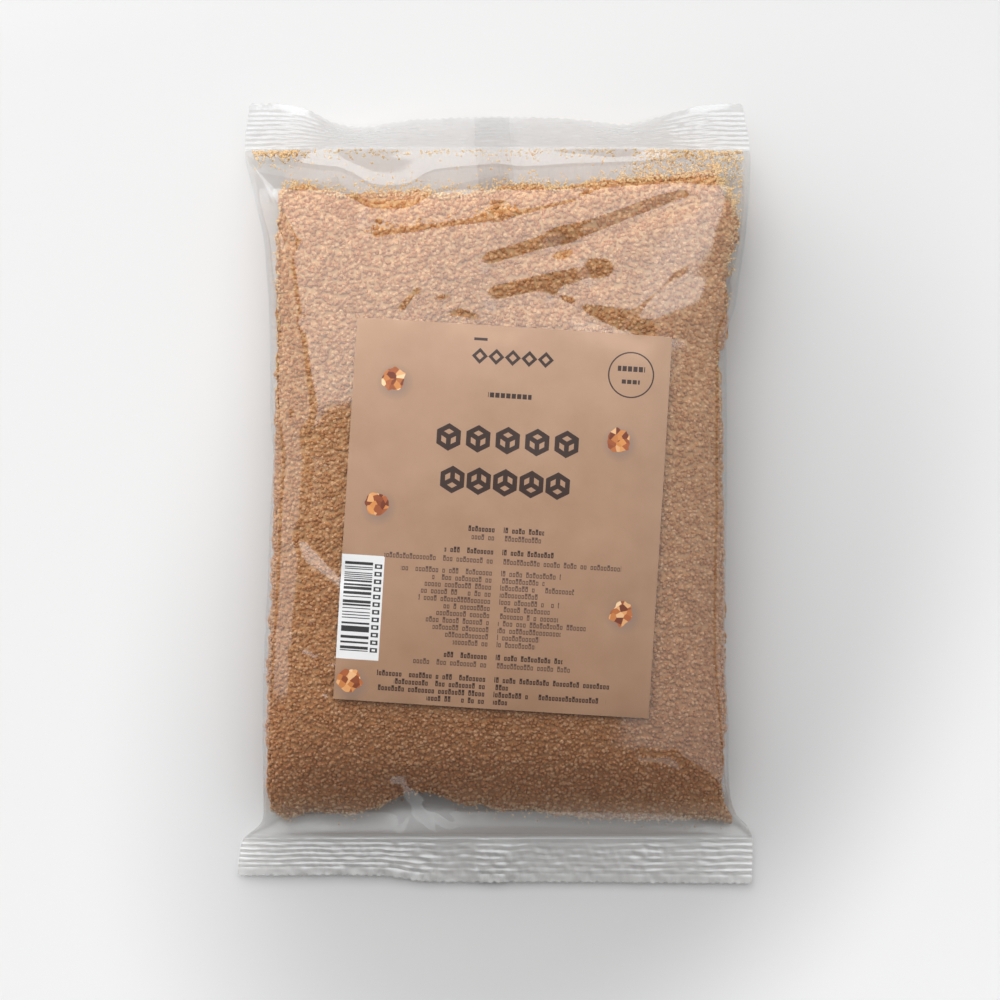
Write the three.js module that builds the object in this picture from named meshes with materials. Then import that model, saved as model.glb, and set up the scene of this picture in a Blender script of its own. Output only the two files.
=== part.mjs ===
// A pillow pouch of clear film, filled with cane sugar and lying on its back. The tube of film
// is crimped shut at both ends and cut off in small teeth, and a paper label is stuck on its
// front. Millimetres, +Z up, +Y towards the top seal, the origin under the middle of the pouch.

import * as THREE from 'three';

// Driving dimensions
const flatWidth = 150;            // of the tube where it lies flat, across the bottom seal
const bodyTop = 100;              // from the middle up to where the top seal starts
const bodyBottom = -99.8;         // and down to where the bottom seal starts
const thickness = 29;             // of the filled body, from the table to its highest place
const sideHeight = 11;            // of the body's widest line above the table
const sheet = 0.8;                // of a flattened seal
const plainStrip = 2.4;           // uncrimped strip outside each seal
const toothPitch = 2.3;           // of the cut edge
const toothDepth = 0.7;
const crimpDepth = 0.35;          // of a ridge above the middle of the sheet
const frontRound = 2.7;           // exponent of the section: 2 is an ellipse, more is boxier
const backRound = 3.2;

const label = {
  width: 90, height: 109,         // as cut
  at: [2.3, -6.7],                // its middle
  turn: -3.6,                     // degrees
  gap: 0.35, thick: 0.3,
  across: 14, along: 18,          // facets
};

// Facets of the pouch
const columns = 34;
const bodyRows = 38;
const sealColumns = 26;
const footing = 0.78;             // share of the width, in the middle, that lies on the table

// Sides of the pouch seen from above, each point [y, x]. The tube is narrower where it is full.
const leftSide = curve([[-109.5, -74.8], [-105, -74.3], [-100, -73], [-96.5, -68.9],
  [-93, -67.1], [-70, -67.1], [-48, -66.7], [-28, -65.7], [-4, -64.8], [11, -63.9],
  [20, -64.7], [51, -65.1], [66, -66.1], [74, -66.8], [88, -70], [100, -72.6], [113, -71.2]]);
const rightSide = curve([[-113, 74.6], [-100, 74.8], [-96.5, 73.4], [-92, 69.6],
  [-85, 67.8], [-65, 67.5], [-44, 66.4], [0, 67], [41, 66.9], [46.5, 66.8],
  [54, 69.4], [62, 70.6], [72, 72.1], [84, 73.3], [100, 74], [113, 71.8]]);

// Height of the front along the middle of the body, and of the back near its ends, [y, z].
// The sugar has run down to the bottom seal, so the pouch is full there and thinner at the top.
const frontLine = curve([[-99.8, 4.6], [-95, 10], [-90, 16], [-84, 21.4], [-75, 25.2],
  [-60, 27.7], [-30, 28.8], [0, thickness], [25, 28.5], [45, 27.2], [60, 25.6], [74, 23],
  [81, 21], [86, 18.2], [90.5, 15.2], [95, 13.2], [100, 12.3]]);
const backEnds = { bottom: -90, top: 84 };      // the back leaves the table past these

// Seals: height of the inner line, the slope of the sheet away from it in degrees, and its
// width, each along the seal from left to right. The top seal bends down in the middle.
const topSeal = {
  side: 1, line: bodyTop, ridges: 8,
  height: curve([[0, 3.4], [0.08, 6], [0.19, 12.1], [0.35, 12], [0.5, 11.4], [0.65, 12],
    [0.78, 12.1], [0.9, 6.5], [1, 3.6]]),
  slope: curve([[0, -4], [0.07, 6], [0.19, 56], [0.35, 47], [0.5, 43], [0.65, 46],
    [0.77, 54], [0.86, 34], [0.93, 9], [1, -6]]),
  width: () => 13.6,
};
const bottomSeal = {
  side: -1, line: bodyBottom, ridges: 6,
  height: curve([[0, 1.6], [0.15, 3], [0.5, 4.2], [0.85, 3.2], [1, 1.8]]),
  slope: curve([[0, 1], [0.2, 7], [0.5, 11], [0.8, 8], [1, 1]]),
  width: curve([[0, 11.3], [0.28, 11.4], [0.37, 13.2], [0.6, 13.4], [1, 13.6]]),
};

// Creases and dents pressed in the film: the line that each follows, how far it reaches to
// either side, and how deep it is at its two ends. A negative depth is a ridge.
const creases = [
  { from: [-0.7, 65.2], to: [19.3, 70.9], reach: 3.2, depth: [0.6, 1.3] },
  { from: [19.3, 70.9], to: [52, 83.2], reach: 3.2, depth: [1.3, 1.2] },
  { from: [2, 54.6], to: [30, 61], reach: 4.5, depth: [1.1, 1.2] },
  { from: [19, 53.3], to: [42.5, 43.6], reach: 4, depth: [0.9, 0.9] },
  { from: [-72, 97], to: [-60, 72], reach: 2.4, depth: [1.2, 1.2] },
  { from: [-69, 95], to: [-57, 74], reach: 2.2, depth: [-0.9, -0.9] },
  { from: [66.5, 67], to: [64, 46], reach: 3, depth: [1.6, 1.6] },
  { from: [-62, 62], to: [-56, 24], reach: 3.4, depth: [0.9, 0.9] },
  { from: [-54.5, -12.4], to: [-42.2, -23.8], reach: 3, depth: [0.9, 0.9] },
  { from: [-28, -84], to: [-21, -98], reach: 3, depth: [1.6, 1.6] },
  { from: [12, -91], to: [45, -94], reach: 3, depth: [1, 1] },
];

// A smooth curve through a few [place, value] pairs, as a function of the place
function curve(points) {
  const last = points.length - 1;
  const slopes = points.map((point, i) => {
    const before = points[Math.max(i - 1, 0)];
    const after = points[Math.min(i + 1, last)];
    return (after[1] - before[1]) / (after[0] - before[0]);
  });
  return place => {
    const at = THREE.MathUtils.clamp(place, points[0][0], points[last][0]);
    let i = 0;
    while (i < last - 1 && at > points[i + 1][0]) i += 1;
    const span = points[i + 1][0] - points[i][0];
    const t = (at - points[i][0]) / span;
    const rise = points[i + 1][1] - points[i][1];
    const bend0 = slopes[i] * span - rise;
    const bend1 = slopes[i + 1] * span - rise;
    return points[i][1] + rise * t + t * (1 - t) * (bend0 * (1 - t) - bend1 * t);
  };
}

// Shares from 0 to 1 that lie closer together at both ends by the given strength
function spread(count, strength) {
  return Array.from({ length: count + 1 }, (_, i) => {
    const t = i / count;
    return t - strength * Math.sin(2 * Math.PI * t) / (2 * Math.PI);
  });
}

function rounded(u, exponent) {
  return Math.max(0, 1 - Math.abs(2 * u - 1) ** exponent) ** (1 / exponent);
}

function creaseDepth(x, y) {
  let depth = 0;
  for (const crease of creases) {
    const [x0, y0] = crease.from;
    const dx = crease.to[0] - x0;
    const dy = crease.to[1] - y0;
    const share = ((x - x0) * dx + (y - y0) * dy) / (dx * dx + dy * dy);
    const t = THREE.MathUtils.clamp(share, 0, 1);
    const off = Math.hypot(x - x0 - t * dx, y - y0 - t * dy) / crease.reach;
    depth += THREE.MathUtils.lerp(...crease.depth, t) * Math.exp(-off * off);
  }
  return depth;
}

// How far the tube has opened out from its flat seals, 0 at a seal and 1 in the body
function opened(y, reach) {
  const top = THREE.MathUtils.clamp((bodyTop - y) / reach, 0, 1);
  const bottom = THREE.MathUtils.clamp((y - bodyBottom) / reach, 0, 1);
  return Math.sin(Math.PI / 2 * Math.min(top, bottom));
}

function sideways(u, y) {
  return THREE.MathUtils.lerp(leftSide(y), rightSide(y), u);
}

// Height of the line where front and back meet, carried on across the tube
function middleHeight(u, y) {
  const seal = y > 0 ? topSeal : bottomSeal;
  return THREE.MathUtils.lerp(seal.height(u), sideHeight, opened(y, 22));
}

function front(u, y) {
  const middle = middleHeight(u, y);
  const open = opened(y, 9);
  const rise = Math.max(frontLine(y) - middle, sheet / 2) * rounded(u, frontRound);
  const dent = creaseDepth(sideways(u, y), y) * open * rounded(u, 2);
  return middle + Math.max(THREE.MathUtils.lerp(sheet / 2, rise, open) - dent, 0);
}

function back(u, y) {
  const middle = middleHeight(u, y);
  const past = y > 0 ? (y - backEnds.top) / (bodyTop - backEnds.top)
    : (backEnds.bottom - y) / (backEnds.bottom - bodyBottom);
  const along = 1 - Math.sqrt(1 - THREE.MathUtils.clamp(past, 0, 1) ** 2);
  const beside = Math.max(0, (Math.abs(2 * u - 1) - footing) / (1 - footing));
  const across = 1 - Math.max(0, 1 - beside ** backRound) ** (1 / backRound);
  const lifted = Math.max(along, across);
  return Math.min(lifted * middle, middle) - sheet / 2 * along * Math.min(1, 4 * u, 4 - 4 * u);
}

// A closed solid between rows of points. Each row has its front points and its back points,
// which share their two ends, and rows may differ in how many points they have.
class Skin {
  constructor() {
    this.points = [];
    this.faces = [];
  }

  point(x, y, z) {
    this.points.push(x, y, z);
    return this.points.length / 3 - 1;
  }

  // Triangles between two rows, stepping along whichever row is behind the other
  stitch(rowA, rowB, flip) {
    let a = 0;
    let b = 0;
    while (a < rowA.length - 1 || b < rowB.length - 1) {
      const nextA = a < rowA.length - 1 ? rowA[a + 1].u : Infinity;
      const nextB = b < rowB.length - 1 ? rowB[b + 1].u : Infinity;
      const stepA = nextA <= nextB;
      const third = stepA ? rowA[a + 1].id : rowB[b + 1].id;
      const face = [rowA[a].id, third, rowB[b].id];
      if (new Set(face).size === 3) this.faces.push(...(flip ? face.reverse() : face));
      if (stepA) a += 1;
      else b += 1;
    }
  }

  geometry() {
    const geometry = new THREE.BufferGeometry();
    geometry.setAttribute('position', new THREE.Float32BufferAttribute(this.points, 3));
    geometry.setIndex(this.faces);
    geometry.computeVertexNormals();
    return geometry;
  }
}

// One row of the pouch: where(u, face) gives a point, and face is 1 in front and -1 behind
function addRow(skin, frontShares, backShares, where) {
  const place = (u, face) => ({ u, id: skin.point(...where(u, face)) });
  const frontRow = frontShares.map(u => place(u, 1));
  const backRow = backShares.map(u => (u === 0 ? frontRow[0]
    : u === 1 ? frontRow[frontRow.length - 1] : place(u, -1)));
  return { front: frontRow, back: backRow };
}

// The rows of a seal, from its inner line to its cut edge
function sealRows(skin, seal) {
  const shares = spread(sealColumns, 0.3);
  const teeth = Math.round(flatWidth / toothPitch);
  const toothShares = Array.from({ length: 2 * teeth + 1 }, (_, i) => i / (2 * teeth));
  const rows = [];
  const row = (list, reach, ridge, toothed) => addRow(skin, list, list, (u, face) => {
    const edge = u === 0 || u === 1;
    const tooth = toothed && Math.round(u * 2 * teeth) % 2 === 1 ? toothDepth : 0;
    const along = reach(u) - tooth;
    const slope = THREE.MathUtils.degToRad(seal.slope(u));
    const lift = edge ? 0 : ridge * crimpDepth + face * sheet / 2;
    const y = seal.line + seal.side * (along * Math.cos(slope) + lift * Math.sin(slope));
    const z = seal.height(u) - along * Math.sin(slope) + lift * Math.cos(slope);
    return [sideways(u, y), y, z];
  });
  for (let i = 1; i <= 2 * seal.ridges; i += 1) {
    const crimped = u => (seal.width(u) - plainStrip) * i / (2 * seal.ridges);
    rows.push(row(shares, crimped, i % 2 === 0 ? -1 : 1, false));
  }
  rows.push(row(toothShares, u => seal.width(u), 0, true));
  return rows;
}

function pouchGeometry() {
  const skin = new Skin();
  const frontShares = spread(columns, 0.72);
  const sideShares = spread(columns, 0.72).filter(u => Math.abs(2 * u - 1) > footing);
  const backShares = [...sideShares.filter(u => u < 0.5), (1 - footing) / 2,
    (1 + footing) / 2, ...sideShares.filter(u => u > 0.5)];
  const body = spread(bodyRows, 0.55).map((share, i) => {
    const y = THREE.MathUtils.lerp(bodyBottom, bodyTop, share);
    const inSeal = i === 0 || i === bodyRows;
    const raised = y < backEnds.bottom || y > backEnds.top;
    return addRow(skin, frontShares, inSeal || raised ? frontShares : backShares,
      (u, face) => [sideways(u, y), y, face > 0 ? front(u, y) : back(u, y)]);
  });
  const rows = [...sealRows(skin, bottomSeal).reverse(), ...body, ...sealRows(skin, topSeal)];
  for (let i = 0; i < rows.length - 1; i += 1) {
    skin.stitch(rows[i].front, rows[i + 1].front, false);
    skin.stitch(rows[i].back, rows[i + 1].back, true);
  }
  skin.stitch(rows[0].back, rows[0].front, false);
  const last = rows[rows.length - 1];
  skin.stitch(last.front, last.back, false);
  return skin.geometry();
}

// The label follows the front of the pouch at a small gap
function labelGeometry() {
  const skin = new Skin();
  const turn = THREE.MathUtils.degToRad(label.turn);
  const rows = Array.from({ length: label.along + 1 }, (_, j) => {
    const b = label.height * (j / label.along - 0.5);
    return [0, 1].map(layer => Array.from({ length: label.across + 1 }, (_, i) => {
      const a = label.width * (i / label.across - 0.5);
      const x = label.at[0] + a * Math.cos(turn) - b * Math.sin(turn);
      const y = label.at[1] + a * Math.sin(turn) + b * Math.cos(turn);
      const u = (x - leftSide(y)) / (rightSide(y) - leftSide(y));
      const z = front(u, y) + label.gap + layer * label.thick;
      return { u: i / label.across, id: skin.point(x, y, z) };
    }));
  });
  for (let j = 0; j < label.along; j += 1) {
    skin.stitch(rows[j][1], rows[j + 1][1], false);
    skin.stitch(rows[j][0], rows[j + 1][0], true);
  }
  const ends = [rows[0], rows[label.along]];
  skin.stitch(ends[0][0], ends[0][1], false);
  skin.stitch(ends[1][1], ends[1][0], false);
  for (const column of [0, label.across]) {
    const side = layer => rows.map((row, j) => ({ u: j, id: row[layer][column].id }));
    skin.stitch(side(0), side(1), column === 0);
  }
  return skin.geometry();
}

function piece(name, geometry, colour, roughness) {
  const material = new THREE.MeshStandardMaterial({ color: colour, roughness, metalness: 0 });
  const mesh = new THREE.Mesh(geometry, material);
  mesh.name = name;
  return mesh;
}

const group = new THREE.Group();
group.add(piece('pouch', pouchGeometry(), 0xb98a63, 0.2));
group.add(piece('label', labelGeometry(), 0xbb9980, 0.75));

// The origin goes under the middle of the box round the whole
const box = new THREE.Box3().setFromObject(group);
group.position.set(-(box.min.x + box.max.x) / 2, -(box.min.y + box.max.y) / 2, -box.min.z);

export default group;
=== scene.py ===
# A pouch of brown cane sugar lying on its back: sugar in a tube of clear film that is crimped
# shut at both ends, with a paper label on its front. Sizes are in millimetres and turn into
# metres where a mesh is made. +Z is up, and +Y points to the top seal.

import math

import bpy
import numpy as np
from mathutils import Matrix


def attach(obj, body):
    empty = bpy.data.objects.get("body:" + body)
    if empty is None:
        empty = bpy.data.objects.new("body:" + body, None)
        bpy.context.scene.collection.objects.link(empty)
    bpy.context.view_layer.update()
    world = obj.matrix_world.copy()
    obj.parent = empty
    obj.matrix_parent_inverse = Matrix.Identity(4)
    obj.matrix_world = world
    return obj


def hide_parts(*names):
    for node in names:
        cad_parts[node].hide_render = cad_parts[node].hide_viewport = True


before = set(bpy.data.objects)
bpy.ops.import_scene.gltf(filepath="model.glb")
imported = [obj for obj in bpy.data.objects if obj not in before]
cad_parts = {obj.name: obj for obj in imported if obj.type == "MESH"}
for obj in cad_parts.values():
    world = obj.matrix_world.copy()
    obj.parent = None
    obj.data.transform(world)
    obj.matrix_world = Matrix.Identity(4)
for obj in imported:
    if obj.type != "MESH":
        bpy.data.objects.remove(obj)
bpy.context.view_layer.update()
mm = 0.001


# The camera hangs straight above the pouch with a long lens. The picture is as wide as 290 mm
# of the table just above its top, and its middle lies a little beside the pouch's own.
field = 290
eye_height = 1200
seal_height = 5
aim = (1.5, -1.6)
sensor = 36
camera = bpy.data.objects.new("camera", bpy.data.cameras.new("camera"))
camera.data.sensor_width = sensor
camera.data.lens = sensor * (eye_height - seal_height) / field
camera.location = (aim[0] * mm, aim[1] * mm, eye_height * mm)
bpy.context.scene.collection.objects.link(camera)
bpy.context.scene.camera = camera


# The film is one clear plastic tube, made from a flat web with a seam down the back. It is
# crimped between ridged jaws at both ends, cut off in small teeth, and stands round where the
# sugar fills it. The front and back panels are two pieces that meet along the sides.
body_top, body_bottom = 100, -99.8
side_height, thickness = 11, 29
front_round, back_round, footing = 2.7, 3.2, 0.78
back_starts = {"bottom": -90, "top": 84}
plain_strip, tooth_depth, teeth = 2.4, 0.7, 60
ridge_press, ridge_wander, crumple, seal_fold = 0.4, 0.8, 0.65, 0.22
film_half, film_slack, table_gap = 0.08, 0.13, 0.2


def curve(points):
    """A smooth curve through a few (place, value) pairs, as a function of the place."""
    at, value = np.array(points, float).T
    order = np.arange(len(at))
    before, after = np.maximum(order - 1, 0), np.minimum(order + 1, len(at) - 1)
    slope = (value[after] - value[before]) / (at[after] - at[before])

    def read(place):
        place = np.clip(place, at[0], at[-1])
        i = np.clip(np.searchsorted(at, place, side="right") - 1, 0, len(at) - 2)
        span, rise = at[i + 1] - at[i], value[i + 1] - value[i]
        t = (place - at[i]) / span
        bend = (slope[i] * span - rise) * (1 - t) - (slope[i + 1] * span - rise) * t
        return value[i] + rise * t + t * (1 - t) * bend

    return read


left_side = curve([(-109.5, -74.8), (-105, -74.3), (-100, -73), (-96.5, -68.9), (-93, -67.1),
                   (-70, -67.1), (-48, -66.7), (-28, -65.7), (-4, -64.8), (11, -63.9),
                   (20, -64.7), (51, -65.1), (66, -66.1), (74, -66.8), (88, -70),
                   (100, -72.6), (113, -71.2)])
right_side = curve([(-113, 74.6), (-100, 74.8), (-96.5, 73.4), (-92, 69.6), (-85, 67.8),
                    (-65, 67.5), (-44, 66.4), (0, 67), (41, 66.9), (46.5, 66.8), (54, 69.4),
                    (62, 70.6), (72, 72.1), (84, 73.3), (100, 74), (113, 71.8)])
front_line = curve([(-99.8, 4.6), (-95, 8.6), (-90, 12.9), (-84, 18), (-75, 23.6),
                    (-60, 27.4), (-30, 28.8), (0, thickness), (25, 28.6), (45, 27.3),
                    (60, 25.5), (74, 23.2), (81, 21.5), (84, 20.4), (86, 18.9), (89, 15.8),
                    (92, 12.8), (94, 12.25), (97, 12.2), (100, 12.4)])
shoulder = curve([(-66, -3), (-46, -2.6), (-40, 0), (-35, 2.6), (-25, 2.4), (-17, -1.5),
                  (10, -2.6), (45, -4.5), (66, -4.5)])  # how far the heap's end shifts down
top_seal = {
    "side": 1, "line": body_top, "ridges": 8,
    "height": curve([(0, 3.4), (0.08, 6), (0.19, 12.1), (0.35, 12), (0.5, 11.4), (0.65, 12),
                     (0.78, 12.1), (0.9, 6.5), (1, 3.6)]),
    "slope": curve([(0, -4), (0.07, 6), (0.19, 56), (0.35, 47), (0.5, 43), (0.65, 46),
                    (0.77, 54), (0.86, 34), (0.93, 9), (1, -6)]),
    "width": curve([(0, 13.6), (1, 13.6)]),
    "crimp": curve([(0, 0.3), (0.12, 0.26), (0.2, 0.17), (0.8, 0.17), (0.88, 0.27), (1, 0.3)]),
    "fold_lines": [-58, 61],
}
bottom_seal = {
    "side": -1, "line": body_bottom, "ridges": 6,
    "height": curve([(0, 1.6), (0.15, 3), (0.5, 4.2), (0.85, 3.2), (1, 1.8)]),
    "slope": curve([(0, 1), (0.2, 7), (0.5, 11), (0.8, 8), (1, 1)]),
    "width": curve([(0, 11.3), (0.28, 11.4), (0.37, 13.2), (0.6, 13.4), (1, 13.6)]),
    "crimp": curve([(0, 0.24), (0.1, 0.22), (0.13, 0.34), (0.37, 0.34), (0.395, 0.2),
                    (0.455, 0.2), (0.47, 0.33), (0.52, 0.33), (0.535, 0.19), (0.76, 0.2),
                    (0.78, 0.3), (0.82, 0.3), (0.84, 0.19), (0.89, 0.2), (0.91, 0.33),
                    (1, 0.28)]),
    "fold_lines": [-16.8, -6.1, 4.2],
}

# Dents of the film that press into the sugar, and folds that don't reach it: from x, y to
# x, y, how far each reaches to either side, and its depth at both ends. A negative depth
# is a fold that stands up, and one with a negative reach is steep on its right side only.
dents = [
    (-0.7, 65.2, 19.3, 70.9, 3.2, 0.8, 1.2), (19.3, 70.9, 54, 84, 3.4, 1.3, 2.1),
    (2, 54.6, 30, 61, 4.5, 1.1, 1.2), (26, 66.5, 29, 60, 2.4, 0.5, 0.4),
    (18, 54.3, 41, 44.5, 3.6, 1.1, 1.1), (-11.4, 49.9, 3.7, 46.2, 3, 0.5, 0.4),
    (-25.8, 51.5, -22, 56.5, 2, 0.6, 0.5), (-16, 54.8, -13, 55, 1.6, 0.35, 0.3),
    (-54.5, 49.5, -46, 52, 1.6, 0.5, 0.2),
    (-72, 97, -60, 72, 2.4, 1.2, 1.2), (-61, 97, -50, 92, 3, 0.6, 0.5),
    (-63, 70, -61, 52, 2.4, 0.6, 0.9), (-61, 52, -56, 24, 3.2, 0.9, 0.9),
    (-54.5, -12.4, -42.2, -23.8, 3, 0.9, 0.9), (-28, -84, -21, -98, 3, 1.6, 1.6),
]
folds = [
    (-34.5, 75.8, 1.4, 80.4, -1.5, 1.15, 1), (1.4, 80.4, 23, 85.5, -1.5, 1, 0.6),
    (52, 62, 38, 49, -0.8, 0.3, 0.3), (-33, 77, -35, 73, 1.5, 0.6, 0.3),
    (-44.2, 65.9, -39.9, 71, 0.7, 0.1, 0.4), (-47, 61, -50, 58, 0.7, 0.1, 0.3),
    (-64, 86, -61.5, 70, 0.9, -0.5, -0.4), (-62.5, 60, -60.5, 44, 0.9, -0.5, -0.4),
    (-63.5, 40, -61.5, 20, 0.9, -0.4, -0.4),
    (-69, 95, -57, 74, 2.2, -0.9, -0.9), (19.9, 57.2, 21.5, 56.6, 1.2, -0.6, -0.6),
    (-54, -31, -52.5, -35, 1.6, 0.5, 0.4), (-48, -30, -45, -33, 1.7, 0.5, 0.3),
    (-61, -42, -57, -45, 1.8, 0.5, 0.4), (-54, -43, -46.5, -47, 2.1, 0.6, 0.5),
    (-55, -49, -49, -56, 1.4, 0.5, 0.5), (-50, -50, -47.5, -57, 1.4, 0.5, 0.5),
    (-40.5, -59, -38.5, -61, 1.2, 0.4, 0.4), (-60, 28, -57.5, 22, 2, 0.4, 0.5),
    (-19, 86, 12, 98, 3, -0.8, -0.7), (-69, 97, -58, 86, 3.4, -1.3, -0.9),
    (-24, -88.5, -27.5, -97, 1.2, 0, -0.7), (-23, -88, -22, -98, 1.2, 0, -0.7),
    (-21.5, -88.5, -17, -97.5, 1.2, 0, -0.7), (-20, -89.5, -13, -95, 1.2, 0, -0.6),
    (42, -75, 51, -75.5, 1.4, 0.3, 0.4), (51, -75.5, 67, -90, 1.6, 0.5, 0.6),
    (69.5, 68, 64.5, 56, 1.1, -0.9, -0.7), (70.5, 61, 66, 47, 1.1, -0.8, -0.8),
]


def pressed(lines, x, y):
    """How deep these dents and folds are at a place."""
    depth = np.zeros(np.shape(x))
    for x0, y0, x1, y1, reach, deep0, deep1 in lines:
        dx, dy = x1 - x0, y1 - y0
        t = np.clip(((x - x0) * dx + (y - y0) * dy) / (dx * dx + dy * dy), 0, 1)
        away = (x - x0 - t * dx) ** 2 + (y - y0 - t * dy) ** 2
        gentle = (reach < 0) & ((y - y0) * dx > (x - x0) * dy)
        depth += (deep0 + (deep1 - deep0) * t) * np.exp(-away / (reach * (1 + 2.5 * gentle)) ** 2)
    return depth


def waves(x, y, length, seed):
    """Gentle unevenness, about -1 to 1, with humps about this length apart."""
    draw = np.random.default_rng(seed)
    total = np.zeros(np.shape(x))
    for _ in range(14):
        way, phase = draw.uniform(0, 2 * math.pi, 2)
        turn = 2 * math.pi / (length * draw.uniform(0.7, 1.5))
        total += np.sin(turn * (x * math.cos(way) + y * math.sin(way)) + phase)
    return total / math.sqrt(14)


def rounded(u, exponent):
    """The height of a round section for a share of its width, 1 in its middle."""
    return np.maximum(0, 1 - np.abs(2 * u - 1) ** exponent) ** (1 / exponent)


def opened(y, reach):
    """How far the tube has opened from its flat seals, 0 at a seal and 1 in the body."""
    away = np.minimum(body_top - y, y - body_bottom)
    return np.sin(math.pi / 2 * np.clip(away / reach, 0, 1))


def sideways(u, y):
    """The x of a share of the pouch's width."""
    return left_side(y) + u * (right_side(y) - left_side(y))


def middle_height(u, y):
    """The height at which the front and the back panel meet."""
    seal = np.where(y > 0, top_seal["height"](u), bottom_seal["height"](u))
    return seal + (side_height - seal) * opened(y, 22)


def front_height(u, y, lines):
    """The height of the front panel, with these dents and folds in it."""
    x = sideways(u, y)
    middle, wide_open = middle_height(u, y), opened(y, 9)
    shift = shoulder(x) * np.clip((y - 62) / 16, 0, 1)
    rise = np.maximum(front_line(y + shift) - middle, film_half) * rounded(u, front_round)
    dent = pressed(lines, x, y) + film_slack * waves(x, y, 26, 3)
    dent = dent * wide_open * rounded(u, 2)
    return middle + np.maximum(film_half + (rise - film_half) * wide_open - dent, film_half)


def back_height(u, y):
    """The height of the back panel, flat on the table but for its rounded rim."""
    middle = middle_height(u, y)
    reach = np.where(y > 0, body_top - back_starts["top"], back_starts["bottom"] - body_bottom)
    start = np.where(y > 0, y - back_starts["top"], back_starts["bottom"] - y)
    along = 1 - np.sqrt(1 - np.clip(start / reach, 0, 1) ** 2)
    beside = np.maximum(0, (np.abs(2 * u - 1) - footing) / (1 - footing))
    across = 1 - np.maximum(0, 1 - beside ** back_round) ** (1 / back_round)
    return np.maximum(along, across) * (middle - film_half) + table_gap


def grid_piece(name, x, y, z):
    """A smooth mesh from grids of coordinates, row by row."""
    rows, columns = x.shape
    corner = np.arange(rows * columns).reshape(rows, columns)
    faces = np.stack([corner[:-1, :-1], corner[:-1, 1:], corner[1:, 1:], corner[1:, :-1]], -1)
    mesh = bpy.data.meshes.new(name)
    mesh.from_pydata(np.stack([x, y, z], -1).reshape(-1, 3) * mm, [], faces.reshape(-1, 4))
    mesh.polygons.foreach_set("use_smooth", np.full(len(mesh.polygons), True))
    piece = bpy.data.objects.new(name, mesh)
    bpy.context.scene.collection.objects.link(piece)
    return piece


def spread(count, strength):
    """Shares from 0 to 1 that lie closer together at both ends."""
    t = np.linspace(0, 1, count + 1)
    return t - strength * np.sin(2 * math.pi * t) / (2 * math.pi)


def seal_rows(seal, shares, face, steps):
    """Grids of a seal from its inner line, left out, to its toothed edge."""
    crimped = np.arange(1, seal["ridges"] * steps + 1) / (seal["ridges"] * steps)
    strip = np.array([0.25, 0.6, 1])
    u = np.tile(shares, (len(crimped) + len(strip), 1))
    width = seal["width"](u)
    band = np.r_[crimped, np.ones(3)][:, None]
    past = np.r_[np.zeros(len(crimped)), strip][:, None]
    tooth = np.abs((u * teeth) % 1 - 0.5) * 2 * tooth_depth * (past == 1)
    along = (width - plain_strip) * band + plain_strip * past - tooth
    x = sideways(u, seal["line"] + seal["side"] * along)
    wobble = ridge_wander * waves(x, along * 0.5, 12, 7) * np.sin(math.pi * band)
    phase = 2 * math.pi * seal["ridges"] * band + wobble
    ridge = (np.sin(phase) + 0.3 * np.sin(2 * phase + 2 * waves(x, along, 10, 8))) * (past == 0)
    press = ridge_press * seal["crimp"](u) * (0.85 + 0.3 * waves(x, along, 5, 4))
    crinkle = (crumple * seal["crimp"](u) * waves(x * 1.6, along, 4, 5)
               + 0.16 * waves(x, along, 22, 6))
    for fold_line in seal["fold_lines"]:
        crinkle += seal_fold * np.exp(-((x - fold_line) / 0.5) ** 2)
    slope = np.radians(seal["slope"](u))
    painted_glow = ridge * press + crinkle * rounded(u, 2) * np.minimum(1, 3 * band) + face * film_half
    y = seal["line"] + seal["side"] * (along * np.cos(slope) + painted_glow * np.sin(slope))
    z = seal["height"](u) - along * np.sin(slope) + painted_glow * np.cos(slope)
    return x, y, np.maximum(z, table_gap + 0.06 + face * film_half)


def film_panel(name, face, columns, body_steps, seal_steps):
    """The front panel (face 1) or the back one (face -1) with its half of both seals."""
    shares = np.linspace(0, 1, columns + 1)
    y = body_bottom + (body_top - body_bottom) * spread(body_steps, 0.4)[:, None]
    share = shares + (spread(columns, 0.72) - shares) * opened(y, 20)
    if face > 0:
        z = front_height(share, y, dents + folds)
    else:
        z = back_height(share, y)
    body = (sideways(share, y), y + 0 * share, z)
    bottom = seal_rows(bottom_seal, shares, face, seal_steps)
    top = seal_rows(top_seal, shares, face, seal_steps)
    grids = [np.vstack([low[::-1], middle, high]) for low, middle, high in zip(bottom, body, top)]
    if face < 0:
        grids = [grid[:, ::-1] for grid in grids]
    return grid_piece(name, *grids)


film_front = film_panel("film_front", 1, 256, 200, 10)
film_back = film_panel("film_back", -1, 150, 120, 5)

# The web's two edges are welded into a fin that lies flat under the back, from seal to seal.
seam_from, seam_to, seam_gap = 0.457, 0.527, 0.14
shares = np.linspace(seam_from, seam_to, 9)
y = body_bottom + (body_top - body_bottom) * spread(120, 0.4)[:, None] + 0 * shares
body = (sideways(shares, y), y, np.maximum(back_height(shares, y) - seam_gap, 0.04))
ends = [seal_rows(seal, shares, -1 - seam_gap / film_half, 5) for seal in (bottom_seal, top_seal)]
fin_seam = grid_piece("fin_seam", *[np.vstack([low[::-1], middle, high])[:, ::-1]
                                    for low, middle, high in zip(ends[0], body, ends[1])])


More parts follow.
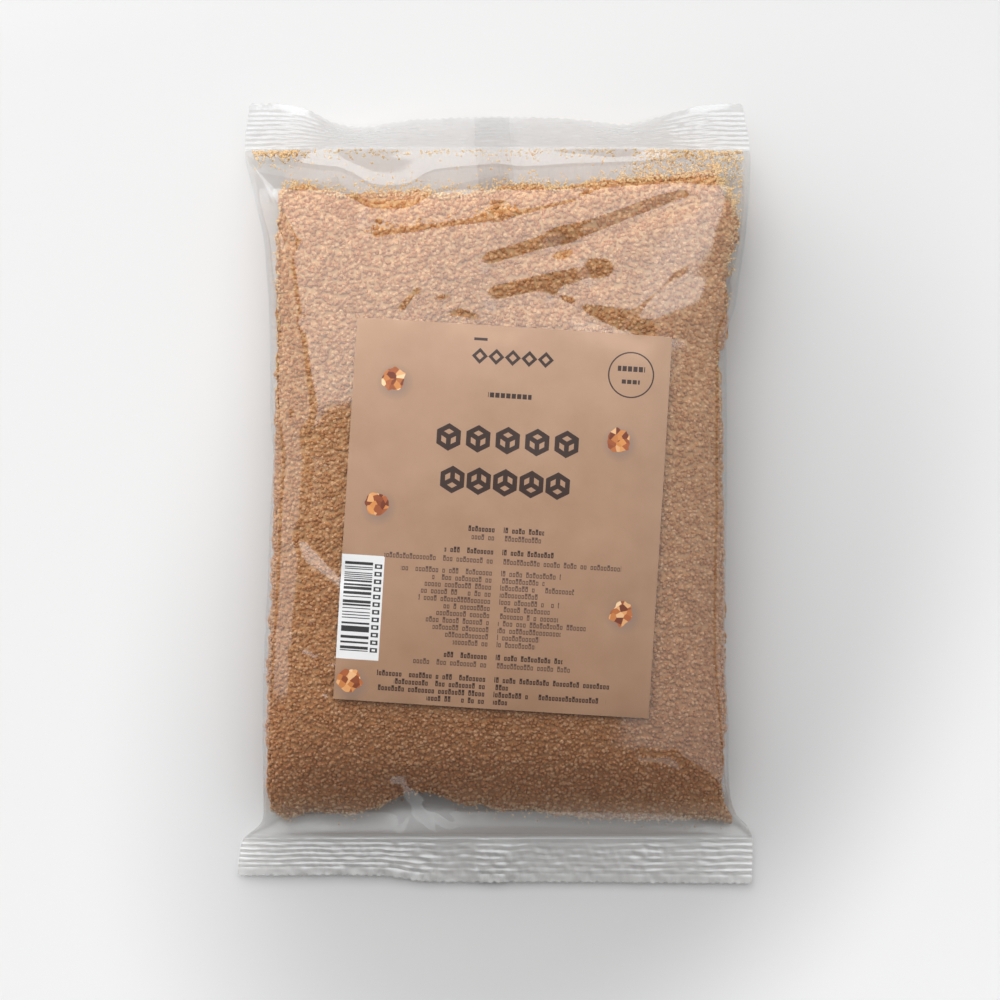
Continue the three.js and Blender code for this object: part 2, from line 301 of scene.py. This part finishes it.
class Link:
    """A socket in a material. Sums and products of links add the nodes that work them out."""

    def __init__(self, tree, socket=None):
        self.tree, self.socket = tree, socket

    def node(self, kind, settings=(), inputs=(), out=0):
        """Any node: its type, its settings, and what its sockets get, by name or number."""
        made = self.tree.nodes.new("ShaderNode" + kind)
        for key, value in dict(settings).items():
            if key == "stops":
                while len(made.color_ramp.elements) < len(value):
                    made.color_ramp.elements.new(1)
                for element, (place, colour) in zip(made.color_ramp.elements, value):
                    element.position, element.color = place, (*colour, 1)
            else:
                setattr(made, key, value)
        for key, value in dict(inputs).items():
            if isinstance(value, Link):
                self.tree.links.new(value.socket, made.inputs[key])
            else:
                made.inputs[key].default_value = value
        return Link(self.tree, made.outputs[out])

    def maths(self, operation, first, second=0.0):
        return self.node("Math", {"operation": operation}, {0: first, 1: second})

    def vector(self, operation, first, second, out=0):
        return self.node("VectorMath", {"operation": operation}, {0: first, 1: second}, out)

    def mix(self, share, colour_a, colour_b, blend="MIX"):
        colours = [c if isinstance(c, Link) else (*c, 1) for c in (colour_a, colour_b)]
        settings = {"data_type": "RGBA", "blend_type": blend}
        return self.node("Mix", settings, {0: share, 6: colours[0], 7: colours[1]}, 2)

    def __add__(self, other):
        return self.maths("ADD", self, other)

    def __sub__(self, other):
        return self.maths("SUBTRACT", self, other)

    def __rsub__(self, other):
        return self.maths("SUBTRACT", other, self)

    def __mul__(self, other):
        return self.maths("MULTIPLY", self, other)

    def __truediv__(self, other):
        return self.maths("DIVIDE", self, other)

    def __pow__(self, other):
        return self.maths("POWER", self, other)

    def __lt__(self, other):
        return self.maths("LESS_THAN", self, other)

    def __gt__(self, other):
        return self.maths("GREATER_THAN", self, other)

    def __abs__(self):
        return self.maths("ABSOLUTE", self)

    __radd__ = __add__
    __rmul__ = __mul__


def new_material(name):
    made = bpy.data.materials.new(name)
    made.use_nodes = True
    made.node_tree.nodes.clear()
    return made, Link(made.node_tree)


def show(start, surface):
    output = start.tree.nodes.new("ShaderNodeOutputMaterial")
    start.tree.links.new(surface.socket, output.inputs["Surface"])


film_gloss, film_glare, film_clear = 0.08, (0.95, 1.0, 1.03), (0.96, 0.957, 0.955)
film_haze, haze_through = (0.9, 0.885, 0.87), 0.3
film_roughness, crimped_roughness, edge_on = 0.09, 0.2, 4.5


def film_material(name, haze, end_haze, ends_at):
    """Clear film with this share of haze, and with this much more where its lower end is."""
    made, start = new_material(name)
    place = start.node("TexCoord", (), (), "Object")
    facing = start.node("LayerWeight", (), {"Blend": 0.5}, "Facing")
    along = start.node("SeparateXYZ", (), {0: place}, 1)
    pressed_flat = start.node("MapRange", (), {
        "Value": abs(along), "From Min": (body_top - 1.5) * mm, "From Max": (body_top + 1) * mm,
        "To Min": 0, "To Max": 1})
    through = start.node("BsdfTransparent", (), {"Color": (*film_clear, 1)})
    lower_end = start.node("MapRange", (), {
        "Value": along, "From Min": ends_at[0] * mm, "From Max": ends_at[1] * mm,
        "To Min": haze, "To Max": haze + end_haze})
    mirror = start.node("BsdfGlossy", (), {
        "Color": (*film_glare, 1),
        "Roughness": pressed_flat * crimped_roughness + lower_end * 0.3 + film_roughness})
    gloss = film_gloss * (1 - pressed_flat * 0.25) + lower_end * 0.12
    share = gloss + (1 - gloss) * facing ** edge_on
    milky = start.node("MixShader", (), {
        0: haze_through, 1: start.node("BsdfDiffuse", (), {"Color": (*film_haze, 1)}),
        2: start.node("BsdfTranslucent", (), {"Color": (*film_haze, 1)})})
    clouded = start.node("MixShader", (), {
        0: lower_end * (1 - pressed_flat * (along > 0)), 1: through, 2: milky})
    show(start, start.node("MixShader", (), {0: share, 1: clouded, 2: mirror}))
    return made


front_film = film_material("front_film", 0.0, 0.22, (-88, -97))
back_film = film_material("back_film", 0.07, 0.5, (-80, -89))
for panel, material in ((film_front, front_film), (film_back, back_film), (fin_seam, back_film)):
    panel.data.materials.append(material)
    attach(panel, "root")
    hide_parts("pouch")


# The sugar fills the tube as one slack mass that takes the film's shape, and stops short of
# both seals. It is a plain core that loose crystals cover.
crystal, clearance, core_inset = 1.2, 1.2, 0.2
heap_from, heap_to = body_bottom + 7, body_top - 9
sugar_left = curve([(-93, -65), (-70, -65.2), (-30, -64), (0, -63), (20, -62.8), (51, -62),
                    (66, -62.2), (74, -62.4), (86, -61.6)])
sugar_right = curve([(-93, 68), (-84, 65), (-65, 66), (0, 65.2), (30, 64.6), (40, 64),
                     (50, 66.6), (66, 66.2), (72, 67.3), (84, 69.6), (90, 64)])
sugar_top = curve([(-66, 86), (-62, 87), (-57, 88.7), (-48, 87), (-44, 86.2), (-24, 86.9),
                   (-14, 85.8), (-4, 86.8), (10, 88.8), (20, 88), (30, 89.8), (44, 91),
                   (55, 92), (62, 93), (65, 90), (70, 84)])
sugar_bottom = curve([(-66, -90), (-60, -93.5), (-54, -91.5), (-43, -92), (-36, -91),
                      (-28, -87), (-23, -85), (-16, -86.5), (-8, -89.5), (-4, -89), (1, -91),
                      (9, -90.6), (18, -92.2), (30, -93.4), (50, -94), (60, -93.6),
                      (68, -94.4)])


def sugar_surface(u, v):
    """Places on the sugar for shares of its width and length, on its top and its underside."""
    y_straight = heap_from + (heap_to - heap_from) * v
    x = sugar_left(y_straight) + u * (sugar_right(y_straight) - sugar_left(y_straight))
    x = x + 0.35 * waves(0 * y_straight, y_straight, 6, 15) * np.abs(2 * u - 1) ** 9
    top_edge = sugar_top(x) + 0.45 * waves(x, 0 * x, 6, 16)
    bottom_edge = sugar_bottom(x) + 0.3 * waves(x, 0 * x, 6, 17)
    y = bottom_edge + v * (top_edge - bottom_edge)
    across = (x - left_side(y)) / (right_side(y) - left_side(y))
    top = front_height(across, y, dents) - clearance
    under = back_height(across, y) + 0.5
    middle = under + 0.42 * (top - under)
    edge = rounded(u, 18) * rounded(v, 14)
    return x, y, middle + (top - middle) * edge, middle + (under - middle) * edge


x, y, top, under = sugar_surface(*np.meshgrid(spread(104, 0.5), spread(124, 0.3)))
inset = core_inset * rounded((x - x.min()) / (x.max() - x.min()), 2)
top, under = np.maximum(top - inset, under + 0.1), under + 0.2
sugar_core = grid_piece("sugar_core", np.hstack([x, x[:, ::-1]]), np.hstack([y, y[:, ::-1]]),
                        np.hstack([top, under[:, ::-1]]))


# The sugar is painted darker towards the bottom of the heap, as painted shade, and its thin lower
# rim is painted lighter, as painted light shining through it.
sugar_ends, painted_bottom_shade = (-88, 78), (0.68, 0.505, 0.43)
rim_from, rim_to, rim_light = -85, -93, 0.5


def sugar_material(name, dark, light, roughness, glow, packed=False):
    """Sugar from this dark to this light, with a share of light that goes through it."""
    made, start = new_material(name)
    place = start.node("TexCoord", (), (), "Object")
    tone = start.node("Attribute", {"attribute_name": "tone"}, (), "Fac")
    if packed:
        tone = 1 - start.node("TexVoronoi", (), {"Vector": place, "Scale": 900}) * 1.7
    patch = start.node("TexNoise", (), {"Vector": place, "Scale": 150, "Detail": 2})
    colour = start.mix(tone * 0.6 + patch * 0.4, dark, light)
    along = start.node("SeparateXYZ", (), {0: place}, 1)
    level = start.node("MapRange", (), {
        "Value": along, "From Min": sugar_ends[0] * mm, "From Max": sugar_ends[1] * mm,
        "To Min": 0, "To Max": 1})
    # Painted shade: the colour darkens towards the bottom of the heap.
    colour = start.mix(1 - level, colour, painted_bottom_shade, "MULTIPLY")
    # Painted light: the thin lower rim is lightened towards the light tone.
    painted_rim_light = start.node("MapRange", (), {
        "Value": along, "From Min": rim_from * mm, "From Max": rim_to * mm,
        "To Min": 0, "To Max": rim_light})
    colour = start.mix(painted_rim_light, colour, light)
    body = start.node("BsdfPrincipled", (), {
        "Base Color": colour, "Roughness": roughness, "Specular IOR Level": 0.45})
    passed = start.node("BsdfTranslucent", (), {"Color": (*light, 1)})
    share = (level * 0.5 + 0.5) * glow
    show(start, start.node("MixShader", (), {0: share, 1: body, 2: passed}))
    return made


sugar_core.data.materials.append(
    sugar_material("packed_sugar", (0.70, 0.42, 0.185), (0.90, 0.61, 0.32), 0.6, 0.3, True))
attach(sugar_core, "root")
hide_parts("pouch")


# Loose crystals cover the core, each a small block with worn corners. They are sorted into
# three pieces by how dark they are. Under the label, where none shows, there are none.
label_middle, label_turn, label_size = (2.3, -6.7), -3.6, (90, 109)
worn_block = [(-1, 0, 1.7), (1, 0, 1.7), (-1, 0, -1.7), (1, 0, -1.7), (0, 1.7, 1), (0, 1.7, -1),
              (0, -1.7, 1), (0, -1.7, -1), (1.7, 1, 0), (-1.7, 1, 0), (1.7, -1, 0),
              (-1.7, -1, 0)]
block_faces = [(0, 1, 4), (0, 4, 9), (9, 4, 5), (4, 8, 5), (4, 1, 8), (8, 1, 10), (8, 10, 3),
               (5, 8, 3), (5, 3, 2), (2, 3, 7), (7, 3, 10), (7, 10, 6), (7, 6, 11), (11, 6, 0),
               (0, 6, 1), (6, 10, 1), (9, 11, 0), (9, 2, 11), (9, 5, 2), (7, 11, 2)]


def on_label(x, y, inset):
    """Whether a place lies under the label, this far in from its edge."""
    turn = math.radians(-label_turn)
    dx, dy = x - label_middle[0], y - label_middle[1]
    a = dx * math.cos(turn) - dy * math.sin(turn)
    b = dx * math.sin(turn) + dy * math.cos(turn)
    return (np.abs(a) < label_size[0] / 2 - inset) & (np.abs(b) < label_size[1] / 2 - inset)


def crystals_piece(name, centres, sizes, seed):
    """One mesh of loose crystals, each turned its own way and a little uneven."""
    draw = np.random.default_rng(seed)
    count = len(centres)
    corners = np.array(worn_block) / 1.97
    corners = np.sign(corners) * np.abs(corners) ** 0.8
    uneven = 1 + draw.uniform(-0.13, 0.13, (count, len(corners), 1))
    stretch = draw.uniform((0.85, 0.85, 0.7), (1.2, 1.1, 0.95), (count, 3))[:, None]
    shape = corners * uneven * stretch * sizes[:, None, None] / 2
    q = draw.normal(size=(count, 4))
    w, i, j, k = (q / np.linalg.norm(q, axis=1, keepdims=True)).T
    turn = np.array([[1 - 2 * (j * j + k * k), 2 * (i * j - w * k), 2 * (i * k + w * j)],
                     [2 * (i * j + w * k), 1 - 2 * (i * i + k * k), 2 * (j * k - w * i)],
                     [2 * (i * k - w * j), 2 * (j * k + w * i), 1 - 2 * (i * i + j * j)]])
    points = np.einsum("abn,nvb->nva", turn, shape) + centres[:, None]
    faces = np.array(block_faces)[None] + np.arange(count)[:, None, None] * len(corners)
    mesh = bpy.data.meshes.new(name)
    mesh.from_pydata(points.reshape(-1, 3) * mm, [], faces.reshape(-1, 3))
    tone = mesh.attributes.new("tone", "FLOAT", "POINT")
    tone.data.foreach_set("value", np.repeat(draw.uniform(0, 1, count), len(corners)))
    piece = bpy.data.objects.new(name, mesh)
    bpy.context.scene.collection.objects.link(piece)
    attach(piece, "root")
    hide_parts("pouch")
    return piece


def even_steps(x, y, z, step):
    """Numbers of steps of this length along the middle of a grid's rows."""
    return np.r_[0, np.cumsum(np.sqrt(np.diff(x) ** 2 + np.diff(y) ** 2 + np.diff(z) ** 2))] / step


pitch = crystal * 0.925
fine = np.linspace(0, 1, 1501)
heap_length, steep_edge = 180, 0.0015
draw = np.random.default_rng(21)
along = even_steps(*sugar_surface(np.full(1501, 0.5), fine)[:3], pitch)
spots = []
for row in range(int(along[-1]) + 1):
    v = np.full(1501, np.interp(row + draw.uniform(0.35, 0.65), along, fine))
    x, y, top, under = sugar_surface(fine, v)
    for height, sign in ((top, 1), (under, -1)):
        steps = even_steps(x, y, height, pitch)
        at = np.arange(draw.uniform(0, 1), steps[-1], 1) + draw.uniform(-0.25, 0.25)
        u = np.interp(at + draw.uniform(-0.45, 0.45, len(at)), steps, fine)
        vv = v[0] + draw.uniform(-0.5, 0.5, len(at)) * pitch / heap_length
        px, py, ptop, punder = sugar_surface(u, np.clip(vv, 0, 1))
        pz = ptop if sign > 0 else punder
        seen = ~on_label(px, py, 2.5) if sign > 0 else pz > 1.2
        spots.append(np.stack([px, py, pz + sign * draw.uniform(-0.25, 0.1, len(u))], -1)[seen])

# The heap's sides and ends are steep, so their crystals lie in level rows round it.
for side in (steep_edge, 1 - steep_edge):
    for u, v in ((side + 0 * fine, fine), (fine, side + 0 * fine)):
        wall = sugar_surface(u, v)
        steps = even_steps(wall[0], wall[1], 0 * fine, pitch)
        for level in np.arange(0.4, thickness, pitch):
            at = np.interp(np.arange(draw.uniform(0, 1), steps[-1], 1), steps, fine)
            x, y, top, under = [np.interp(at, fine, line) for line in wall]
            z = under + level + draw.uniform(-0.4, 0.4, len(at))
            shift = draw.uniform(-0.3, 0.3, (2, len(at)))
            spots.append(np.stack([x + shift[0], y + shift[1], z], -1)[(z > 0.8) & (z < top)])
spots = np.vstack(spots)
sizes = crystal * draw.uniform(0.86, 1.25, len(spots))
shade = draw.integers(0, 3, len(spots))
tones = [("dark_crystals", (0.63, 0.35, 0.142), (0.76, 0.455, 0.21)),
         ("brown_crystals", (0.73, 0.435, 0.195), (0.86, 0.56, 0.285)),
         ("pale_crystals", (0.83, 0.55, 0.29), (0.95, 0.73, 0.46))]
for kind, (name, dark, light) in enumerate(tones):
    crystals = crystals_piece(name, spots[shade == kind], sizes[shade == kind], 30 + kind)
    crystals.data.materials.append(sugar_material(name, dark, light, 0.25, 0.6))

# Finer crystals stick to the film: a line of them along the top seal, a thin scatter above
# and below the heap, a thick one in the right corner, and a few along the sides.
stray_lines = [(-72, -57, 280), (-57, 42, 260), (44, 72, 320)]  # x from, x to, how many
x = [draw.uniform(x0, x1, count) for x0, x1, count in stray_lines]
y = [99.6 - draw.exponential(1.1, len(part)) for part in x]
x += [draw.uniform(-62, 66, 2200), draw.uniform(40, 72, 520), draw.uniform(-65, 67, 900)]
y += [sugar_top(x[-3]) - 1 + draw.exponential(1.4, 2200), draw.uniform(88, 99, 520),
      sugar_bottom(x[-1]) + 0.6 - draw.exponential(0.7, 900)]
y += [draw.uniform(63, 96, 900), draw.uniform(-92, 60, 700), draw.uniform(-92, 86, 900)]
x += [np.minimum(sugar_right(y[-3]), 69) - 1 + draw.exponential(1.7, 900),
      sugar_right(y[-2]) - 0.3 + draw.exponential(0.5, 700),
      sugar_left(y[-1]) + 0.3 - draw.exponential(0.5, 900)]
x, y = np.concatenate(x), np.concatenate(y)
u = (x - left_side(y)) / (right_side(y) - left_side(y))
inside = (u > 0.015) & (u < 0.985) & (y < 99.7)
x, y, u = x[inside], y[inside], u[inside]
low, high = back_height(u, y) + 0.4, front_height(u, y, dents) - 0.5
level = np.where(draw.uniform(0, 1, len(x)) < 0.6, 0.04, 0.92)
strays = np.stack([x, y, low + np.maximum(high - low, 0) * level], -1)
stray_crystals = crystals_piece("stray_crystals", strays,
                                crystal * draw.uniform(0.32, 0.68, len(strays)), 40)
stray_crystals.data.materials.append(
    sugar_material("stray_crystals", (0.84, 0.62, 0.34), (0.97, 0.84, 0.58), 0.35, 0.6))


# The label is brown paper stuck on the film, so it follows the film's form. Its print is a
# field of colour and simple shapes that says nothing, worked out from the place on it:
# a runs to the right and b up, in millimetres from its middle.
label_lift, label_thick, print_scale = 0.14, 0.14, 120
a = np.linspace(-label_size[0] / 2, label_size[0] / 2, 76)
b = np.linspace(-label_size[1] / 2, label_size[1] / 2, 92)
a, b = np.meshgrid(a, np.r_[b[0], b[0] + 0.03, b[1:-1], b[-1] - 0.03, b[-1]])
turn = math.radians(label_turn)
x = label_middle[0] + a * math.cos(turn) - b * math.sin(turn)
y = label_middle[1] + a * math.sin(turn) + b * math.cos(turn)
share = (x - left_side(y)) / (right_side(y) - left_side(y))
under = front_height(share, y, dents + folds) + label_lift
over = under + label_thick * (np.abs(b) < label_size[1] / 2 - 0.01)


def wrapped(upper, lower):
    """Columns of the upper face, back along the lower one, and the first one again."""
    return np.hstack([upper, lower[:, ::-1], upper[:, :1]])


label_sheet = grid_piece("label_sheet", wrapped(x, x), wrapped(y, y), wrapped(over, under))
label_sheet.data.set_sharp_from_angle(angle=0.6)
places = np.stack([wrapped(a, a), wrapped(b, b)], -1).reshape(-1, 2) / print_scale + 0.5
corners = np.zeros(len(label_sheet.data.loops), np.int32)
label_sheet.data.loops.foreach_get("vertex_index", corners)
label_sheet.data.uv_layers.new(name="print").data.foreach_set("uv", places[corners].ravel())
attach(label_sheet, "root")
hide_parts("label")

kraft_dark, kraft_light = (0.30, 0.166, 0.096), (0.46, 0.288, 0.19)
ink_dark, ink_thin, white = (0.035, 0.016, 0.012), (0.10, 0.055, 0.04), (0.74, 0.74, 0.74)
kraft, start = new_material("kraft_print")
a = (start.node("SeparateXYZ", (), {0: start.node("UVMap", {"uv_map": "print"})})
     - 0.5) * print_scale
b = (start.node("SeparateXYZ", (), {0: start.node("UVMap", {"uv_map": "print"})}, 1)
     - 0.5) * print_scale
place = start.node("CombineXYZ", (), {0: a, 1: b})


def near(value, middle, half):
    return abs(value - middle) < half


def chance(number, row):
    """A number from 0 to 1 that two whole numbers decide."""
    key = start.node("CombineXYZ", (), {0: number, 1: row})
    return start.node("TexWhiteNoise", {"noise_dimensions": "2D"}, {"Vector": key})


def cubes(middle, pitch, way):
    """Five outlined cubes in a row where a title would stand."""
    tall, stroke = 7.9, 1.35
    cell = a / pitch + 2.5
    across = abs((start.maths("FRACT", cell) - 0.5) * pitch)
    up = (b - middle) * way
    inset = tall * 0.433 - start.maths("MAXIMUM", across, across * 0.5 + abs(up) * 0.866)
    spokes = (abs(up * 0.866 - across * 0.5) < stroke / 2) + (across < stroke / 2) * (up < 0)
    lines = start.maths("MAXIMUM", inset < stroke, spokes > 0.5)
    return (inset > 0) * lines * near(a, 0, 2.5 * pitch)


def paragraph(top, pitch, rows):
    """Rows of letter-like rings in two columns: how long each is, left and right, and bold."""
    tall = 1.15
    row = start.maths("FLOOR", (top + pitch / 2 - b) / pitch)
    up = b - (top - row * pitch)
    left, right, bold = row * 0, row * 0, row * 0
    for number, (left_length, right_length, is_bold) in enumerate(rows):
        this = start.maths("COMPARE", row, number)
        left, right = left + this * left_length, right + this * right_length
        bold = bold + this * is_bold
    columns = ((a < -2) * (a > -2 - left) + (a > 0.5) * (a < right + 0.5))
    cell = a / (tall * 0.83)
    number, inside = start.maths("FLOOR", cell), start.maths("FRACT", cell)
    tallness = tall / 2 + (chance(number, row + 40) > 0.7) * 0.45
    letter = near(inside, 0.4, 0.38) * (up < tallness) * (up > -tall / 2)
    hole = (abs(inside - 0.4) < 0.14 - bold * 0.06) * near(up, 0, tall * 0.27)
    return letter * (1 - hole) * (chance(number, row) > 0.17) * columns, bold


def ring(middle, radius, stroke):
    away = start.vector("DISTANCE", place, (*middle, 0), 1)
    return near(away, radius, stroke / 2)


def nearest(spots, shift):
    """How far the nearest of these spots is, once they have moved by the shift."""
    least = 99.0
    for spot in spots:
        moved = (spot[0] + shift[0], spot[1] + shift[1], 0)
        least = start.maths("MINIMUM", start.vector("DISTANCE", place, moved, 1), least)
    return least


def box(middle_a, middle_b, half_a, half_b):
    return near(a, middle_a, half_a) * near(b, middle_b, half_b)


# Small print, as rows of (left length, right length, bold), and the other dark print.
small_print = [
    (-3.7, 2.3, [(8.5, 11.5, 1), (6.5, 11, 0)]),
    (-10, 2.6, [(14, 14.6, 1), (31, 34, 0)]),
    (-16, 2.02, [(26, 17, 0), (17, 12.5, 0), (19, 21, 0), (20, 13, 0), (20.5, 17, 0),
                 (14, 14.5, 0), (16, 17, 0), (22, 25, 0), (16, 18, 0), (12.5, 12, 0),
                 (10, 11, 0)]),
    (-39.9, 2.3, [(13, 19, 1), (21, 22, 0)]),
    (-46.3, 2.1, [(31, 33, 1), (26, 4, 1), (31.5, 32, 1), (16.5, 4, 1)]),
]
thin_ink, dark_ink = a * 0, cubes(22, 8.4, 1) + cubes(10, 7.5, -1)
for top, pitch, rows in small_print:
    ink, bold = paragraph(top, pitch, rows)
    thin_ink, dark_ink = thin_ink + ink * (1 - bold), dark_ink + ink * bold
gaps = start.maths("FRACT", a / 1.55) > 0.22
diamond = abs((start.maths("FRACT", a / 4.7 + 0.5) - 0.5) * 4.7) + abs(b - 45.6)
dark_ink = (dark_ink + near(diamond, 1.7, 0.6) * near(a, 0, 11.7) + box(-9.4, 50.4, 1.9, 0.4)
            + ring((33.9, 42.9), 6.4, 0.4) + box(33.9, 44.6, 3.9, 0.75) * gaps
            + box(33.9, 40.9, 2.6, 0.6) * gaps + box(-0.2, 34.7, 6.2, 0.7) * gaps)

# The barcode is a white patch with bars of random width, and blocks where digits would be.
module, bars_from, bars_to = 26 / 95, -41, -15
bar = chance(start.maths("FLOOR", (b - bars_from) / module), 3) > 0.5
digit = near(start.maths("FRACT", (b - bars_from) / 2.17), 0.5, 0.3)
digit_hole = near(start.maths("FRACT", (b - bars_from) / 2.17), 0.5, 0.13)
patch = box(-38.9, -27.9, 6.1, 14.9)
black = (bar * box(-40, (bars_from + bars_to) / 2, 4, (bars_to - bars_from) / 2)
         + digit * box(-34.4, -28, 1.05, 13.2) * (1 - digit_hole * near(a, -34.4, 0.5)))

# Five lumps of amber sugar are strewn over the label, each with a soft shadow.
lumps = [(-33.5, 37.5), (31.5, 24), (-36, 1.5), (35.5, -25), (-40.5, -49)]
rough = start.node("TexNoise", (), {"Vector": place, "Scale": 0.35, "Detail": 1})
lump = (nearest(lumps, (0, 0)) + (rough - 0.5) * 2.8) < 3.3
facet = start.node("TexVoronoi", (), {"Vector": place, "Scale": 0.55}, "Color")
amber = start.node("ValToRGB", {"stops": [
    (0.2, (0.16, 0.035, 0.015)), (0.45, (0.40, 0.11, 0.035)), (0.65, (0.66, 0.27, 0.075)),
    (0.9, (0.90, 0.62, 0.36))]}, {0: facet})
shadow = start.node("MapRange", (), {"Value": nearest(lumps, (0.5, -0.8)), "From Min": 2.8,
                                     "From Max": 5.4, "To Min": 0.45, "To Max": 0})
mottle = start.node("TexNoise", (), {"Vector": place, "Scale": 0.12, "Detail": 3})
# The paper's tone wanders at random, and it is painted lighter towards its top as painted light
# from the panel above.
colour = start.mix(mottle * 0.5 + (b / 109 + 0.5) * 0.5, kraft_dark, kraft_light)
colour = start.mix(shadow, colour, (0.19, 0.15, 0.14))
colour = start.mix(lump, colour, amber)
colour = start.mix(patch, colour, white)
colour = start.mix(thin_ink, colour, ink_thin)
colour = start.mix(dark_ink, colour, ink_dark)
colour = start.mix(black, colour, (0.03, 0.03, 0.03))
fibre = start.node("TexNoise", (), {"Vector": place, "Scale": 1.6, "Detail": 4})
bump = start.node("Bump", (), {"Strength": 0.05, "Distance": 0.0003, "Height": fibre})
show(start, start.node("BsdfPrincipled", (), {"Base Color": colour, "Roughness": 0.4,
                                              "Normal": bump}))
label_sheet.data.materials.append(kraft)


# The floor is a wide sheet of white paper. It has a painted glow of its own that grows away from
# the pouch and from the light, so that it reads as an evenly white backdrop.
floor_size, floor_steps = 6000, 60
x, y = np.meshgrid(*[np.linspace(-1, 1, floor_steps + 1) * floor_size / 2] * 2)
floor = grid_piece("floor", x, y, 0 * x - 0.1)
paper, start = new_material("floor_paper")
place = start.node("TexCoord", (), (), "Object")
east, north = [start.node("SeparateXYZ", (), {0: place}, axis) for axis in (0, 1)]
reach = (((east - north * 0.25 - 0.03) * 9.5) ** 2 + ((north + 0.03) * 6.9) ** 2) ** 0.5
clear_of_pouch = start.node("MapRange", {"interpolation_type": "SMOOTHSTEP"}, {
    "Value": reach, "From Min": 0.75, "From Max": 1.32, "To Min": 0, "To Max": 1})
# Painted glow: emission that brightens the floor away from the pouch and from the light.
painted_glow = start.node("Math", {"operation": "MAXIMUM", "use_clamp": True}, {
    0: east * 0.2 - north * 0.88 + 0.137, 1: 0})
show(start, start.node("BsdfPrincipled", (), {
    "Base Color": (0.655, 0.655, 0.655, 1), "Roughness": 0.9, "Specular IOR Level": 0.1,
    "Emission Color": start.mix(painted_glow * clear_of_pouch, (0, 0, 0), (1, 1, 1)),
    "Emission Strength": 1.0}))
floor.data.materials.append(paper)


def soft_light(name, azimuth, elevation, away, size, glow, lit=True, mirrored=True):
    """A light panel this far from the pouch that faces it: its width, height and brightness."""
    data = bpy.data.lights.new(name, "AREA")
    data.shape, (data.size, data.size_y) = "RECTANGLE", size
    data.energy = glow * math.pi * size[0] * size[1]
    lamp = bpy.data.objects.new(name, data)
    level, turn = math.radians(elevation), math.radians(azimuth)
    lamp.location = (away * math.cos(level) * math.cos(turn),
                     away * math.cos(level) * math.sin(turn), away * math.sin(level))
    lamp.rotation_euler = (-lamp.location).to_track_quat("-Z", "Y").to_euler()
    lamp.visible_camera, lamp.visible_diffuse, lamp.visible_glossy = False, lit, mirrored
    bpy.context.scene.collection.objects.link(lamp)


# One large panel hangs over the top of the pouch, a low one behind it makes the shadows but
# isn't mirrored in the film, and a card on either side throws a little light back. The film
# also mirrors the pale wall on the right.
soft_light("high_panel", 96, 55, 1.0, (1.75, 1.0), 2.2)
soft_light("low_panel", 118, 17, 1.0, (1.6, 0.45), 5.1, mirrored=False)
soft_light("left_card", 165, 25, 0.95, (0.8, 0.5), 1.2)
soft_light("right_card", 2, 38, 0.95, (0.5, 0.5), 1.0, mirrored=False)
soft_light("right_wall", 0, 42, 0.95, (1.8, 1.2), 0.6, lit=False)
world = bpy.data.worlds.new("room")
world.use_nodes = True
world.node_tree.nodes["Background"].inputs["Color"].default_value = (1, 1, 1, 1)
world.node_tree.nodes["Background"].inputs["Strength"].default_value = 0.18
bpy.context.scene.world = world
bpy.context.scene.view_settings.view_transform = "Standard"
